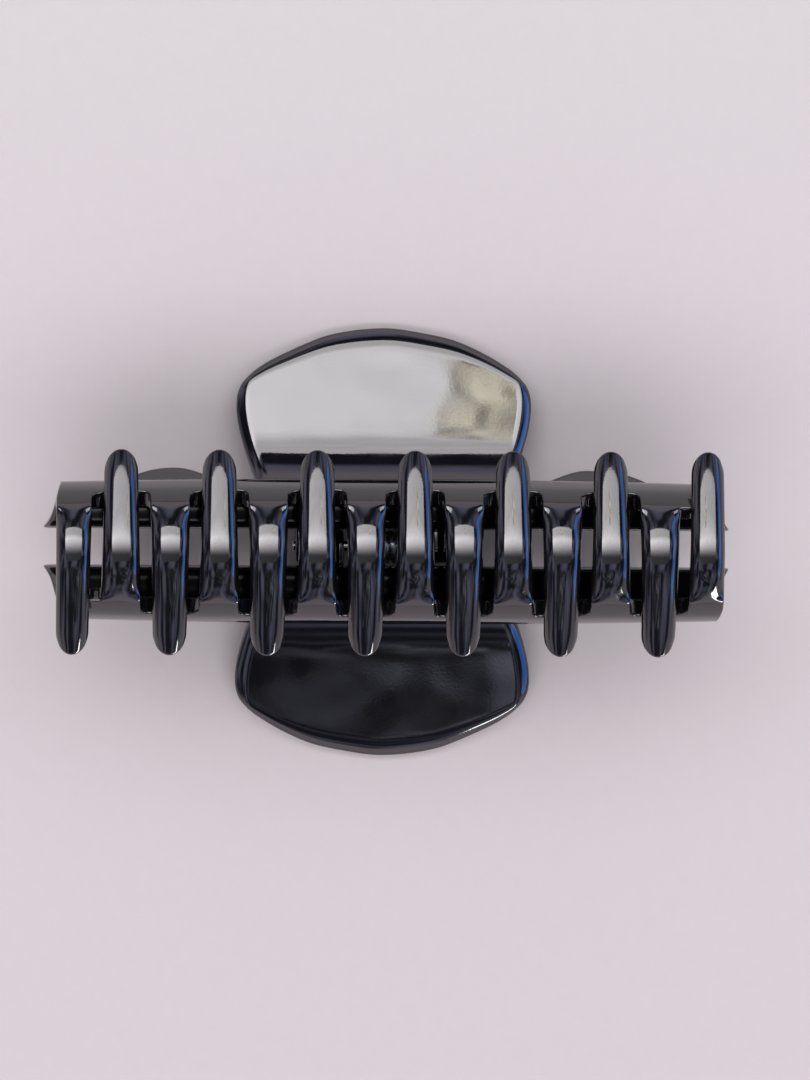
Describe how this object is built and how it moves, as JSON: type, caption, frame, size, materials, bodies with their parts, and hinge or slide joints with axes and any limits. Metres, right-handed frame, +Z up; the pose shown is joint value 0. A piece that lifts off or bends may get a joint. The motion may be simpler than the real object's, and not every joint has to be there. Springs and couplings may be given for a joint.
{
  "type": "claw clip",
  "caption": "Sprung hair claw clip: two interlocking toothed jaws on one hinge pin, each with a broad thumb handle, closed by a torsion spring.",
  "frame": {"origin": "on the surface the clip stands on, under the middle of the clip, which stands on its two handle rims with its teeth up", "axes": "+X along the clip and its hinge pin, +Y from the front jaw to the rear jaw, +Z up, from the handles to the teeth"},
  "size_m": [0.09, 0.0568, 0.0351],
  "materials": {
    "black_plastic": "polished black injection moulding",
    "pin_steel": "plain drawn steel pin",
    "spring_steel": "drawn spring wire, lightly oiled"
  },
  "bodies": {
    "rear_half": {"rear_jaw": "black_plastic", "hinge_pin": "pin_steel", "torsion_spring": "spring_steel"},
    "front_half": {"front_jaw": "black_plastic"}
  },
  "joints": [
    {"name": "jaw_hinge", "type": "hinge", "parent": "rear_half", "child": "front_half", "pos_m": [0, 0, 0.01175], "axis": [1, 0, 0], "range_deg": [0, 90], "stiffness_Nm_per_rad": 0.04, "springref_deg": -34.38, "deforming": ["torsion_spring"]}
  ]
}
